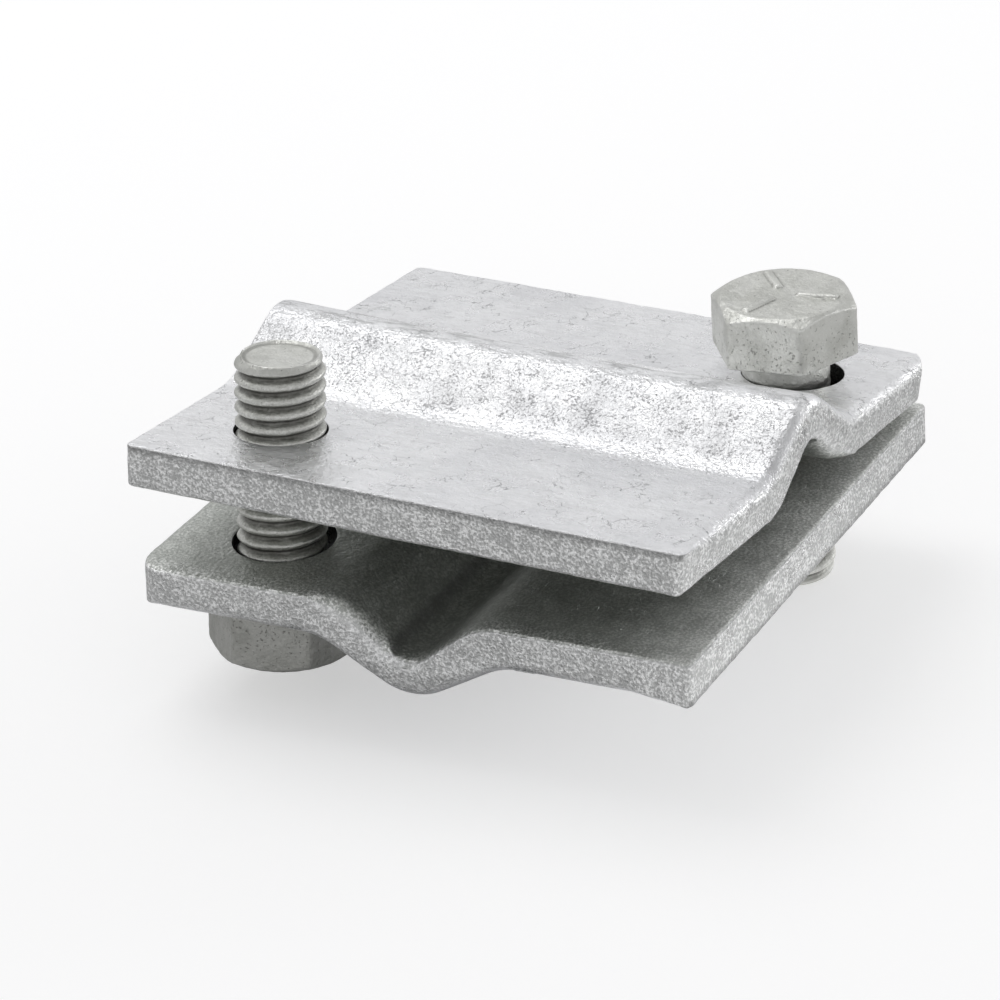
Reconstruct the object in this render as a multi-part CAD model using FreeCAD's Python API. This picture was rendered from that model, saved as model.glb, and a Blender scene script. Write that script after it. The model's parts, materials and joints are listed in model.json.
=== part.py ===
"""Cross clamp for two conductors that cross at a right angle.

Two square pressed plates face each other, each with a ridge across its middle.
The plates are the same part: the lower one is turned over about the diagonal that
has no holes, so its ridge becomes a groove that runs at a right angle to the upper
ridge.  Each plate has one tapped hole and one clearance hole at opposite corners.
Each bolt goes through one plate's clearance hole into the other plate's tapped hole.

Millimetres.  The origin is the middle of the lower plate's clamping face.  +X runs
to the right along the upper ridge, +Y to the back along the lower groove, +Z up.
The clamp is loose: the upper plate gapes at the front as far as the bolts' play lets it.
"""
import FreeCAD, Part
import math
import os

from FreeCAD import Placement, Rotation, Vector

# Plates
PLATE_SIDE = 63.5
PLATE_THICKNESS = 4.8
PLATE_CORNER_RADIUS = 1.3
OUTER_EDGE_RADIUS = 0.6
INNER_EDGE_RADIUS = 0.5
HOLE_EDGE_DISTANCE = 11.75
HOLE_PAIR_SHIFT = 0.3  # both holes sit this far off the diagonal, right and front
HOLE_RIM_RADIUS = 0.15

# Hollow under the ridge, on the clamping face
HOLLOW_DEPTH = 5.4
HOLLOW_FLANK_DEG = 38.0
HOLLOW_BOTTOM_RADIUS = 3.0
HOLLOW_FOOT_RADIUS = 7.5

# Ridge, on the outer face
RIDGE_RISE = 4.95
RIDGE_FLANK_DEG = 29.5
RIDGE_CREST_RADIUS = 6.5
RIDGE_FOOT_RADIUS = 8.0

# Bolts
BOLT_DIAMETER = 9.6
BOLT_LENGTH = 26.8
THREAD_PITCH = 1.5875
THREAD_DEPTH = 0.8
THREAD_FLANK_DEG = 30.0
FIRST_CREST_DEPTH = 2.16  # the first full crest's middle, below the shank's end
NECK_LENGTH = 3.2
END_CHAMFER_WIDTH = 0.75
END_CHAMFER_HEIGHT = 1.2
HEAD_ACROSS_FLATS = 14.3
HEAD_HEIGHT = 6.2
HEAD_CHAMFER_DEG = 30.0
HEAD_TOP_MARGIN = 0.5
HEAD_CORNER_RADIUS = 0.5
HEAD_SIDES = 6
FRONT_BOLT_TURN_DEG = 19.0
REAR_BOLT_TURN_DEG = 6.1

# Raised strokes on the head, one near every other corner
MARK_COUNT = 3
MARK_TURN_DEG = -3.4  # from the corner to the stroke
MARK_INNER_RADIUS = 1.6
MARK_LENGTH = 4.3
MARK_WIDTH = 0.8
MARK_HEIGHT = 0.2

# Fits, each on the radius
TAPPED_HOLE_PLAY = 0.05
CLEARANCE_HOLE_PLAY = 0.8

# Closed state, before the upper plate swings open
CLOSED_GAP = 0.5
CLOSED_SHIFT_X = 0.15
CLOSED_SHIFT_Y = 0.1
PLATE_YAW_DEG = -0.9

# Loose state: the swing axis is level and lies outside the back right corner
GAPE_DEG = 5.9
SWING_AXIS_TURN_DEG = 12.5
SWING_AXIS_MARGIN = 4.33
FRONT_HEAD_GAP = 1.6
REAR_HEAD_GAP = 3.05

# Tolerances for telling lengths and face directions apart
SAME_LENGTH = 1e-3
WALL_LEAN = 0.01
FACE_LEAN = 0.1

# Worked out from the sizes above
HALF_SIDE = PLATE_SIDE / 2
SECTION_HEIGHT = PLATE_THICKNESS + RIDGE_RISE
HOLE_OFFSET = HALF_SIDE - HOLE_EDGE_DISTANCE
TAPPED_X = HOLE_PAIR_SHIFT - HOLE_OFFSET
TAPPED_Y = -HOLE_PAIR_SHIFT - HOLE_OFFSET
CLEARANCE_X = HOLE_PAIR_SHIFT + HOLE_OFFSET
CLEARANCE_Y = HOLE_OFFSET - HOLE_PAIR_SHIFT
BOLT_RADIUS = BOLT_DIAMETER / 2
TAPPED_RADIUS = BOLT_RADIUS + TAPPED_HOLE_PLAY
CLEARANCE_RADIUS = BOLT_RADIUS + CLEARANCE_HOLE_PLAY
Z_AXIS = Vector(0, 0, 1)


def ridge_line(base, rise, flank_deg, crest_radius, foot_radius):
    """Edges across the plate over its ridge, in the YZ plane, with tangent arcs."""
    flank = math.radians(flank_deg)
    crest_y = crest_radius * math.sin(flank)
    crest_drop = crest_radius * (1 - math.cos(flank))
    meeting_y = crest_y + (rise - crest_drop) / math.tan(flank)
    tangent = foot_radius * math.tan(flank / 2)

    def at(y, z):
        return Vector(0, y, base + z)

    def foot(side):
        """The foot arc's three points, from the flat to the flank."""
        outside = at(side * (meeting_y + tangent), 0)
        middle = at(
            side * (meeting_y + tangent - foot_radius * math.sin(flank / 2)),
            foot_radius * (1 - math.cos(flank / 2)),
        )
        inside = at(side * (meeting_y - tangent * math.cos(flank)), tangent * math.sin(flank))
        return outside, middle, inside

    front_foot = foot(-1)
    back_foot = foot(1)
    crest_front = at(-crest_y, rise - crest_drop)
    crest_back = at(crest_y, rise - crest_drop)
    return [
        Part.LineSegment(at(-HALF_SIDE, 0), front_foot[0]).toShape(),
        Part.Arc(*front_foot).toShape(),
        Part.LineSegment(front_foot[2], crest_front).toShape(),
        Part.Arc(crest_front, at(0, rise), crest_back).toShape(),
        Part.LineSegment(crest_back, back_foot[2]).toShape(),
        Part.Arc(*back_foot).toShape(),
        Part.LineSegment(back_foot[0], at(HALF_SIDE, 0)).toShape(),
    ]


def pressed_bar():
    """The plate's section across its ridge, drawn out along the ridge."""
    inner = ridge_line(
        0, HOLLOW_DEPTH, HOLLOW_FLANK_DEG, HOLLOW_BOTTOM_RADIUS, HOLLOW_FOOT_RADIUS
    )
    outer = ridge_line(
        PLATE_THICKNESS, RIDGE_RISE, RIDGE_FLANK_DEG, RIDGE_CREST_RADIUS, RIDGE_FOOT_RADIUS
    )
    ends = []
    for side in (-1, 1):
        low = Vector(0, side * HALF_SIDE, 0)
        high = Vector(0, side * HALF_SIDE, PLATE_THICKNESS)
        ends.append(Part.LineSegment(low, high).toShape())
    loop = Part.Wire(Part.__sortEdges__(inner + outer + ends))
    bar = Part.Face(loop).extrude(Vector(PLATE_SIDE, 0, 0))
    bar.translate(Vector(-HALF_SIDE, 0, 0))
    return bar


def upright_edges(block, height):
    """The edges that run the whole height of the block."""
    upright = []
    for edge in block.Edges:
        if abs(edge.BoundBox.ZLength - height) < SAME_LENGTH:
            upright.append(edge)
    return upright


def sheared_outline():
    """The square outline with rounded corners, as high above and below as the section."""
    height = 3 * SECTION_HEIGHT
    block = Part.makeBox(
        PLATE_SIDE, PLATE_SIDE, height, Vector(-HALF_SIDE, -HALF_SIDE, -SECTION_HEIGHT)
    )
    return block.makeFillet(PLATE_CORNER_RADIUS, upright_edges(block, height))


def lean(face):
    """The upward part of the face's outward normal at its middle."""
    u_low, u_high, v_low, v_high = face.ParameterRange
    return face.normalAt((u_low + u_high) / 2, (v_low + v_high) / 2).z


def border_edges(plate, side):
    """Edges between the plate's walls and its outer face (side 1) or clamping face (side -1)."""
    picked = []
    for edge in plate.Edges:
        leans = sorted((lean(face) for face in plate.ancestorsOfType(edge, Part.Face)), key=abs)
        if len(leans) == 2 and abs(leans[0]) < WALL_LEAN and side * leans[1] > FACE_LEAN:
            picked.append(edge)
    return picked


def rim_edges(plate, x, y, radius):
    """The two round edges of the hole at x, y."""
    picked = []
    for edge in plate.Edges:
        if not isinstance(edge.Curve, Part.Circle):
            continue
        offset = math.hypot(edge.Curve.Center.x - x, edge.Curve.Center.y - y)
        if offset < SAME_LENGTH and abs(edge.Curve.Radius - radius) < SAME_LENGTH:
            picked.append(edge)
    return picked


def pressed_plate():
    """One plate with its clamping face at z = 0 and its ridge up along X."""
    plate = pressed_bar().common(sheared_outline())
    plate = plate.makeFillet(OUTER_EDGE_RADIUS, border_edges(plate, 1))
    plate = plate.makeFillet(INNER_EDGE_RADIUS, border_edges(plate, -1))
    holes = (
        (TAPPED_X, TAPPED_Y, TAPPED_RADIUS),
        (CLEARANCE_X, CLEARANCE_Y, CLEARANCE_RADIUS),
    )
    for x, y, radius in holes:
        punch = Part.makeCylinder(radius, 3 * SECTION_HEIGHT, Vector(x, y, -SECTION_HEIGHT))
        plate = plate.cut(punch)
    for x, y, radius in holes:
        plate = plate.makeFillet(HOLE_RIM_RADIUS, rim_edges(plate, x, y, radius))
    return plate


def threaded_rod():
    """The shank from z = 0 up, with thread rings from its neck to past its end."""
    flank_run = THREAD_DEPTH * math.tan(math.radians(THREAD_FLANK_DEG))
    crest = THREAD_PITCH / 8
    root_radius = BOLT_RADIUS - THREAD_DEPTH
    first_top = BOLT_LENGTH - FIRST_CREST_DEPTH + crest / 2
    rod_top = first_top + math.ceil(FIRST_CREST_DEPTH / THREAD_PITCH) * THREAD_PITCH
    rings = int((rod_top - NECK_LENGTH) / THREAD_PITCH)
    points = [Vector(0, 0, 0), Vector(BOLT_RADIUS, 0, 0)]
    for ring in range(rings, 0, -1):
        top = rod_top - (ring - 1) * THREAD_PITCH
        start = top - THREAD_PITCH
        points.append(Vector(BOLT_RADIUS, 0, start))
        points.append(Vector(root_radius, 0, start + flank_run))
        points.append(Vector(root_radius, 0, top - crest - flank_run))
        points.append(Vector(BOLT_RADIUS, 0, top - crest))
    points.append(Vector(BOLT_RADIUS, 0, rod_top))
    points.append(Vector(0, 0, rod_top))
    points.append(points[0])
    return Part.Face(Part.makePolygon(points)).revolve(Vector(), Z_AXIS, 360)


def chamfered_blank():
    """A plain rod of the shank's length with its end chamfered."""
    outline = [
        Vector(0, 0, 0),
        Vector(BOLT_RADIUS, 0, 0),
        Vector(BOLT_RADIUS, 0, BOLT_LENGTH - END_CHAMFER_HEIGHT),
        Vector(BOLT_RADIUS - END_CHAMFER_WIDTH, 0, BOLT_LENGTH),
        Vector(0, 0, BOLT_LENGTH),
        Vector(0, 0, 0),
    ]
    return Part.Face(Part.makePolygon(outline)).revolve(Vector(), Z_AXIS, 360)


def hex_head(turn_deg):
    """The head below z = 0, chamfered at its free face, with a corner turned turn_deg from X."""
    corner_radius = HEAD_ACROSS_FLATS / (2 * math.cos(math.pi / HEAD_SIDES))
    corners = []
    for index in range(HEAD_SIDES + 1):
        angle = math.radians(turn_deg + 360 / HEAD_SIDES * index)
        corners.append(
            Vector(corner_radius * math.cos(angle), corner_radius * math.sin(angle), -HEAD_HEIGHT)
        )
    prism = Part.Face(Part.makePolygon(corners)).extrude(Vector(0, 0, HEAD_HEIGHT))
    prism = prism.makeFillet(HEAD_CORNER_RADIUS, upright_edges(prism, HEAD_HEIGHT))
    top_radius = HEAD_ACROSS_FLATS / 2 - HEAD_TOP_MARGIN
    rim_radius = corner_radius + HEAD_TOP_MARGIN
    rim_drop = (rim_radius - top_radius) * math.tan(math.radians(HEAD_CHAMFER_DEG))
    outline = [
        Vector(0, 0, 0),
        Vector(rim_radius, 0, 0),
        Vector(rim_radius, 0, rim_drop - HEAD_HEIGHT),
        Vector(top_radius, 0, -HEAD_HEIGHT),
        Vector(0, 0, -HEAD_HEIGHT),
        Vector(0, 0, 0),
    ]
    turned = Part.Face(Part.makePolygon(outline)).revolve(Vector(), Z_AXIS, 360)
    head = prism.common(turned)
    for index in range(MARK_COUNT):
        stroke = Part.makeBox(
            MARK_LENGTH,
            MARK_WIDTH,
            2 * MARK_HEIGHT,
            Vector(MARK_INNER_RADIUS, -MARK_WIDTH / 2, -HEAD_HEIGHT - MARK_HEIGHT),
        )
        stroke.rotate(Vector(), Z_AXIS, turn_deg + MARK_TURN_DEG + 360 / MARK_COUNT * index)
        head = head.fuse(stroke)
    return head


def bolt(turn_deg):
    """A bolt with its bearing face at z = 0, its shank up and its head down."""
    shank = threaded_rod().common(chamfered_blank())
    return shank.fuse(hex_head(turn_deg)).removeSplitter()


def swing_axis():
    """A point on the axis that the upper plate swings about, and the axis' direction."""
    turn = math.radians(SWING_AXIS_TURN_DEG)
    outward = Vector(math.sin(turn), math.cos(turn), 0)
    direction = Vector(math.cos(turn), -math.sin(turn), 0)
    corner_reach = outward.dot(Vector(HALF_SIDE, HALF_SIDE, 0))
    return outward * (corner_reach + SWING_AXIS_MARGIN), direction


def upper_placement():
    """Where the upper plate stands in the loose clamp."""
    shift = Vector(CLOSED_SHIFT_X, CLOSED_SHIFT_Y, CLOSED_GAP)
    closed = Placement(shift, Rotation(Z_AXIS, PLATE_YAW_DEG))
    point, direction = swing_axis()
    swing = Placement(Vector(), Rotation(direction, -GAPE_DEG), point)
    return swing.multiply(closed)


def lower_placement():
    """The same plate turned over about the diagonal without holes."""
    return Placement(Vector(), Rotation(Vector(1, -1, 0), 180))


def front_bolt_placement(upper):
    """Screwed up into the upper plate, its head under the lower plate's outer face."""
    foot = upper.multVec(Vector(TAPPED_X, TAPPED_Y, 0))
    along = upper.Rotation.multVec(Z_AXIS)
    reach = (foot.z + PLATE_THICKNESS) / along.z
    return Placement(foot - along * (reach + FRONT_HEAD_GAP), upper.Rotation)


def rear_bolt_placement(upper):
    """Screwed down into the lower plate, its head over the upper plate's outer face."""
    hole_top = upper.multVec(Vector(CLEARANCE_X, CLEARANCE_Y, PLATE_THICKNESS))
    bearing = Vector(-TAPPED_Y, -TAPPED_X, hole_top.z + REAR_HEAD_GAP)
    return Placement(bearing, Rotation(Vector(1, 0, 0), 180))


def placed(shape, placement):
    """The shape moved rigidly to its place in the clamp."""
    moved = shape.copy()
    moved.Placement = placement.multiply(moved.Placement)
    return moved


def build():
    """All pieces of the clamp by name."""
    plate = pressed_plate()
    upper = upper_placement()
    return {
        "upper_plate": placed(plate, upper),
        "lower_plate": placed(plate, lower_placement()),
        "front_bolt": placed(bolt(FRONT_BOLT_TURN_DEG), front_bolt_placement(upper)),
        "rear_bolt": placed(bolt(-REAR_BOLT_TURN_DEG), rear_bolt_placement(upper)),
    }


def main():
    os.makedirs("parts", exist_ok=True)
    for name, shape in build().items():
        shape.exportStep(os.path.join("parts", name + ".step"))
        print(name, "valid", shape.isValid(), "volume %.1f mm3" % shape.Volume)


main()
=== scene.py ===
# %% [markdown]
# # A cross clamp in hot-dip zinc
# The clamp is four steel pieces: two square pressed plates, which are the same part,
# and two hex bolts at opposite corners.  Each plate has a ridge across its middle.
# The lower plate is turned over, so its ridge is a groove at a right angle to the
# upper one.  The construction model holds the true sizes and places.  Here each
# piece is modelled again with what zinc and a press leave on it: rolled and sheared
# edges, a real thread, uneven faces and a grained finish.

# %% Load the construction
import bisect
import json
import math

import bmesh
import bpy
from mathutils import Matrix, Vector


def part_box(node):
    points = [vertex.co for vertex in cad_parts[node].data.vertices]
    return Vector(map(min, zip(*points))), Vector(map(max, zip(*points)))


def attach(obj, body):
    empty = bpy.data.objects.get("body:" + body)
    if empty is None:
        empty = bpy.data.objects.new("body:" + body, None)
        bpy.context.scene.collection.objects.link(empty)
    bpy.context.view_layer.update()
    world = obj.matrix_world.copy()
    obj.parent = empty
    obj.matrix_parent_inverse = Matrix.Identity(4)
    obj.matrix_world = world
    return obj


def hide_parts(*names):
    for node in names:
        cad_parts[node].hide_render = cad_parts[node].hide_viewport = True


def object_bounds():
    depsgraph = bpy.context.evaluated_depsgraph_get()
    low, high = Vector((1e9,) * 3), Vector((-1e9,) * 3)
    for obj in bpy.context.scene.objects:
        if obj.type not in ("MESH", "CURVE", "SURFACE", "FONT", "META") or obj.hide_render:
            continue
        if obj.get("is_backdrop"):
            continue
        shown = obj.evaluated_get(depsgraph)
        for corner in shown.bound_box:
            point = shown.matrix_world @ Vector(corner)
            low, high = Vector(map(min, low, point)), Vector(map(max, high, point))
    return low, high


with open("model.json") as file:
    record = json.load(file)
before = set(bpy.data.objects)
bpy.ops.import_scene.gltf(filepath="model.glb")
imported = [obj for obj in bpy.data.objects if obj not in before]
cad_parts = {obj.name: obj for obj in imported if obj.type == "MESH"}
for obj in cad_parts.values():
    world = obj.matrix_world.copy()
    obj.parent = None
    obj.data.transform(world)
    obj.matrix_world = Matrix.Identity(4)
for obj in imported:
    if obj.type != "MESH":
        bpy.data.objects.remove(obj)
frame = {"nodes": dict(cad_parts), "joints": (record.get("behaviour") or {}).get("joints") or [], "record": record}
record = frame["record"]
cad_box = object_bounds()
MM = 0.001
print("pieces:", sorted(frame["nodes"]), "box:", [[round(v / MM, 2) for v in c] for c in cad_box])

# %% [markdown]
# ## Working by hand, in code
# Edit-mode operators act on what is selected.  So each step first clears the
# selection, then picks edges or faces by their place or by the way they face.

# %% Selecting and applying
def choose(piece):
    """Selects this object alone and makes it the active one."""
    bpy.ops.object.select_all(action="DESELECT")
    piece.select_set(True)
    bpy.context.view_layer.objects.active = piece


def edit(piece):
    """Opens the piece in edit mode with nothing selected."""
    choose(piece)
    bpy.ops.object.mode_set(mode="EDIT")
    bpy.ops.mesh.select_all(action="DESELECT")


def close_edit():
    """Goes back to object mode, which writes the work into the mesh."""
    bpy.ops.object.mode_set(mode="OBJECT")


def pick(piece, kind, test):
    """Selects the verts, edges or faces that pass the test, and returns how many do."""
    bpy.ops.mesh.select_all(action="DESELECT")
    bpy.ops.mesh.select_mode(type={"verts": "VERT", "edges": "EDGE", "faces": "FACE"}[kind])
    mesh = bmesh.from_edit_mesh(piece.data)
    found = [item for item in getattr(mesh, kind) if test(item)]
    for item in found:
        item.select_set(True)
    mesh.select_flush_mode()
    bmesh.update_edit_mesh(piece.data)
    return len(found)


def apply_modifiers(piece):
    """Makes every modifier of the piece part of its mesh."""
    choose(piece)
    for modifier in list(piece.modifiers):
        bpy.ops.object.modifier_apply(modifier=modifier.name)


def size_line(piece):
    """Says how large a piece is and how many triangles it has."""
    piece.data.calc_loop_triangles()
    sizes = [round(side / MM, 2) for side in piece.dimensions]
    print(piece.name, "measures", sizes, "mm with", len(piece.data.loop_triangles), "triangles")


def ramp(value, low, high):
    """Runs evenly from 0 at low to 1 at high."""
    return min(1, max(0, (value - low) / (high - low)))


# %% [markdown]
# ## The plate's section
# A press folds the ridge into a flat strip, so one section runs through the whole
# plate.  It could be a row of typed points, but straight runs and arcs that touch
# are what a toolmaker draws.  So one vertex is walked round the section: extruded
# along straight runs, and spun round each arc's centre.  Every arc starts in the
# direction in which the run before it ends, so the outline has no kink.  The hollow
# on the clamping side is steeper and narrower than the ridge above it.

# %% Sizes of the plate
TINY = 0.01 * MM
lower_low, lower_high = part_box("lower_plate")
SIDE = lower_high.x - lower_low.x
HALF = SIDE / 2
SECTION_HEIGHT = lower_high.z - lower_low.z
THICKNESS = 4.8 * MM
HOLLOW = {"rise": 5.4 * MM, "flank": math.radians(38), "crest": 3.0 * MM, "foot": 7.5 * MM}
RIDGE = {
    "rise": SECTION_HEIGHT - THICKNESS,
    "flank": math.radians(29.5),
    "crest": 6.5 * MM,
    "foot": 8.0 * MM,
}
ARC_STEPS = 10
print("plate side %.2f mm, ridge rise %.2f mm" % (SIDE / MM, RIDGE["rise"] / MM))


# %% Walking a vertex along runs and arcs
def walk(distance, heading):
    """Draws a straight run from the selected vertex, in the YZ plane."""
    step = (0, distance * math.cos(heading), distance * math.sin(heading))
    bpy.ops.mesh.extrude_region_move(TRANSFORM_OT_translate={"value": step})


def turn(piece, radius, angle, heading):
    """Draws an arc from the selected vertex and returns the new heading."""
    mesh = bmesh.from_edit_mesh(piece.data)
    here = next(vert.co.copy() for vert in mesh.verts if vert.select)
    inward = Vector((0, -math.sin(heading), math.cos(heading))) * math.copysign(radius, angle)
    bpy.ops.mesh.spin(steps=ARC_STEPS, angle=-angle, center=here + inward, axis=(1, 0, 0))
    return heading + angle


def walk_over_ridge(piece, shape, heading, side):
    """Draws one face of the section, from flat to flat over its ridge."""
    flank = shape["flank"]
    lost = (shape["crest"] + shape["foot"]) * (1 - math.cos(flank))
    slope = (shape["rise"] - lost) / math.sin(flank)
    half_width = (shape["crest"] + shape["foot"]) * math.sin(flank) + slope * math.cos(flank)
    walk(HALF - half_width, heading)
    heading = turn(piece, shape["foot"], side * flank, heading)
    walk(slope, heading)
    heading = turn(piece, shape["crest"], -2 * side * flank, heading)
    walk(slope, heading)
    heading = turn(piece, shape["foot"], side * flank, heading)
    walk(HALF - half_width, heading)


# %% Drawing the section and pulling it into a bar
bpy.ops.object.select_all(action="DESELECT")
bpy.ops.mesh.primitive_plane_add(size=MM, location=(0, 0, 0))
plate = bpy.context.object
plate.name = "plate"
edit(plate)
bpy.ops.mesh.select_all(action="SELECT")
bpy.ops.mesh.merge(type="CENTER")
bpy.ops.transform.translate(value=(-HALF, -HALF, 0))
walk_over_ridge(plate, HOLLOW, 0, 1)
walk(THICKNESS, math.pi / 2)
walk_over_ridge(plate, RIDGE, math.pi, -1)
walk(THICKNESS, -math.pi / 2)
bpy.ops.mesh.select_all(action="SELECT")
bpy.ops.mesh.remove_doubles(threshold=TINY)
bpy.ops.mesh.edge_face_add()
bpy.ops.mesh.extrude_region_move(TRANSFORM_OT_translate={"value": (SIDE, 0, 0)})
bpy.ops.mesh.select_all(action="SELECT")
bpy.ops.mesh.normals_make_consistent(inside=False)
close_edit()
size_line(plate)

# %% [markdown]
# ## Sheared ends and corners
# A shear cuts the strip to length.  Its cut leans: at the ridge's right end the wall
# is half a millimetre further in at the clamping face.  The cut could be bisected at
# that angle, but moving its lower vertices keeps the outline.  Then the four upright
# corners are rounded, the back right one more than the rest.

# %% Leaning the cut and rounding the corners
CUT_LEAN = 0.5 * MM
CORNER_RADIUS = 0.9 * MM
CORNER_STEPS = 6
WORN_CORNER_RADIUS = 3.4 * MM
WORN_CORNER_STEPS = 8
LOOKS_DOWN = -0.1
edit(plate)


def on_clamping_end(vert):
    """True for the cut's vertices that lie on the clamping face."""
    at_end = vert.co.x > HALF - TINY
    return at_end and any(face.normal.z < LOOKS_DOWN for face in vert.link_faces)


pick(plate, "verts", on_clamping_end)
bpy.ops.transform.translate(value=(-CUT_LEAN, 0, 0))


def upright_corner(edge, worn):
    """True for an upright corner edge: the worn one, or one of the others."""
    first, second = (vert.co for vert in edge.verts)
    outside = all(min(abs(p.x), abs(p.y)) > HALF - 2 * CUT_LEAN for p in (first, second))
    is_worn = first.x > 0 and first.y > 0
    return outside and abs(first.z - second.z) > THICKNESS / 2 and is_worn == worn


print("plain corners:", pick(plate, "edges", lambda edge: upright_corner(edge, False)))
bpy.ops.mesh.bevel(offset=CORNER_RADIUS, segments=CORNER_STEPS, affect="EDGES")
print("worn corners:", pick(plate, "edges", lambda edge: upright_corner(edge, True)))
bpy.ops.mesh.bevel(offset=WORN_CORNER_RADIUS, segments=WORN_CORNER_STEPS, affect="EDGES")
close_edit()

# %% [markdown]
# ## Holes
# One hole is tapped for a bolt and one lets the other bolt through with play.  They
# are punched, so two round punches are taken away from the plate with Boolean
# modifiers.  Their centres are the places of the bolts in the construction.

# %% Punching the holes
HOLE_INSET = 11.75 * MM
HOLE_OFFSET = HALF - HOLE_INSET
HOLE_SHIFT = 0.3 * MM
BOLT_RADIUS = 4.8 * MM
TAPPED_PLAY = 0.05 * MM
CLEARANCE_PLAY = 0.65 * MM
PUNCH_SIDES = 96
TAPPED = Vector((HOLE_SHIFT - HOLE_OFFSET, -HOLE_SHIFT - HOLE_OFFSET, 0))
CLEARANCE = Vector((HOLE_SHIFT + HOLE_OFFSET, HOLE_OFFSET - HOLE_SHIFT, 0))
HOLES = ((TAPPED, BOLT_RADIUS + TAPPED_PLAY), (CLEARANCE, BOLT_RADIUS + CLEARANCE_PLAY))
for place, radius in HOLES:
    bpy.ops.object.select_all(action="DESELECT")
    bpy.ops.mesh.primitive_cylinder_add(
        vertices=PUNCH_SIDES, radius=radius, depth=6 * THICKNESS, location=place
    )
    punch = bpy.context.object
    cut = plate.modifiers.new("punch", "BOOLEAN")
    cut.operation = "DIFFERENCE"
    cut.solver = "EXACT"
    cut.object = punch
    apply_modifiers(plate)
    bpy.data.objects.remove(punch)
size_line(plate)

# %% [markdown]
# ## Edges of different sharpness
# One Bevel modifier can round all edges by different amounts when it takes its width
# from each edge's bevel weight: little at the holes, more along the clamping face.
# The rolled edges of the right end come later, because they are wider than the
# corners are round, and a bevel can't be.

# %% Weighting and bevelling the edges
SHARP_EDGE = 0.3 * MM
INNER_EDGE = 0.5 * MM
HOLE_EDGE = 0.2 * MM
EDGE_STEPS = 4
WALL_TILT = 0.25
FACE_TILT = 0.5


def near_hole(point):
    """True for a point on a hole's wall."""
    return any((point.xy - place.xy).length < radius + TINY for place, radius in HOLES)


def edge_width(edge):
    """How far this edge is rounded: nothing unless a wall meets a pressed face there."""
    if len(edge.link_faces) != 2:
        return 0
    wall, face = sorted((f.normal for f in edge.link_faces), key=lambda normal: abs(normal.z))
    if abs(wall.z) > WALL_TILT or abs(face.z) < FACE_TILT:
        return 0
    if near_hole(edge.verts[0].co):
        return HOLE_EDGE
    return INNER_EDGE if face.z < 0 else SHARP_EDGE


choose(plate)
bpy.ops.object.mode_set(mode="EDIT")
mesh = bmesh.from_edit_mesh(plate.data)
weight = mesh.edges.layers.float.new("bevel_weight_edge")
rounded = 0
for edge in mesh.edges:
    edge[weight] = edge_width(edge) / INNER_EDGE
    rounded += edge[weight] > 0
bmesh.update_edit_mesh(plate.data)
close_edit()
rounding = plate.modifiers.new("rounding", "BEVEL")
rounding.limit_method = "WEIGHT"
rounding.width = INNER_EDGE
rounding.segments = EDGE_STEPS
apply_modifiers(plate)
print("edges rounded:", rounded)
size_line(plate)

# %% [markdown]
# ## An even mesh for an uneven skin
# Zinc and rolling leave faces and edges slightly uneven.  To carry that, the mesh
# needs small faces everywhere.  A remesh would blur the edges, so the plate is diced
# instead: bisected along three sets of planes, which keeps every edge where it is.

# %% Dicing the plate
DICE = 0.5 * MM
WALL_DICE = 0.6 * MM
WELD = 0.03 * MM


def dice(piece, axis, low, high, step):
    """Bisects the whole piece by evenly spaced planes square to the axis."""
    count = int(round((high - low) / step))
    for index in range(1, count):
        point = axis * (low + (high - low) * index / count)
        bpy.ops.mesh.select_all(action="SELECT")
        bpy.ops.mesh.bisect(plane_co=point, plane_no=axis)


X_AXIS, Y_AXIS, Z_AXIS = (Vector(row) for row in Matrix.Identity(3))
edit(plate)
dice(plate, Z_AXIS, 0, SECTION_HEIGHT, WALL_DICE)
dice(plate, X_AXIS, -HALF, HALF, DICE)
dice(plate, Y_AXIS, -HALF, HALF, DICE)
bpy.ops.mesh.select_all(action="SELECT")
bpy.ops.mesh.remove_doubles(threshold=WELD)
close_edit()
size_line(plate)

# %% [markdown]
# ## Rolled edges at the right end
# A shear rolls the edge that it enters over.  Along the right end that round is wide
# on the outer face, and as wide inside where the ridge's back flank comes down.  A
# bevel is too narrow for it, but the mesh is fine enough now to move its vertices onto
# quarter circles: each keeps its way along the corner, so the faces stay even.  The
# roll fades out towards both corners, over a longer way at the front.

# %% Sizes of the rolls
OUTER_ROLL = 1.9 * MM
INNER_ROLL = 2.2 * MM
FLANK_START = 1.5 * MM
FLANK_END = 12.0 * MM
FLANK_FADE = 3.0 * MM
CORNER_GAP = 0.1 * MM
FRONT_FADE = 7.0 * MM
BACK_FADE = 2.5 * MM
FACE_LEAN = 0.3


def end_x(y):
    """Where the right end's outline lies, with its rounded corners."""
    radius = WORN_CORNER_RADIUS if y > 0 else CORNER_RADIUS
    past = max(0, abs(y) - (HALF - radius))
    return HALF - radius + math.sqrt(max(0, radius ** 2 - past ** 2))


def face_points(piece, up):
    """The section of the outer or the clamping face, as points (y, z) in order of y."""
    middle = [v for v in piece.data.vertices if abs(v.co.x - DICE / 2) < TINY]
    return sorted((v.co.y, v.co.z) for v in middle if v.normal.z * up > FACE_LEAN)


def face_height(points, y):
    """The face's height at this y, on the straight line between the nearest points."""
    index = min(max(bisect.bisect_left(points, (y, 0)), 1), len(points) - 1)
    (y0, z0), (y1, z1) = points[index - 1], points[index]
    return z0 + (z1 - z0) * ramp(y, y0, y1)


def roll_over(distance, depth, radius):
    """Moves a point near the corner of the end and a face onto a quarter circle."""
    angle = (radius + distance - depth) / (2 * radius) * math.pi / 2
    return radius * (1 - math.cos(angle)), radius * (1 - math.sin(angle))


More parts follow.
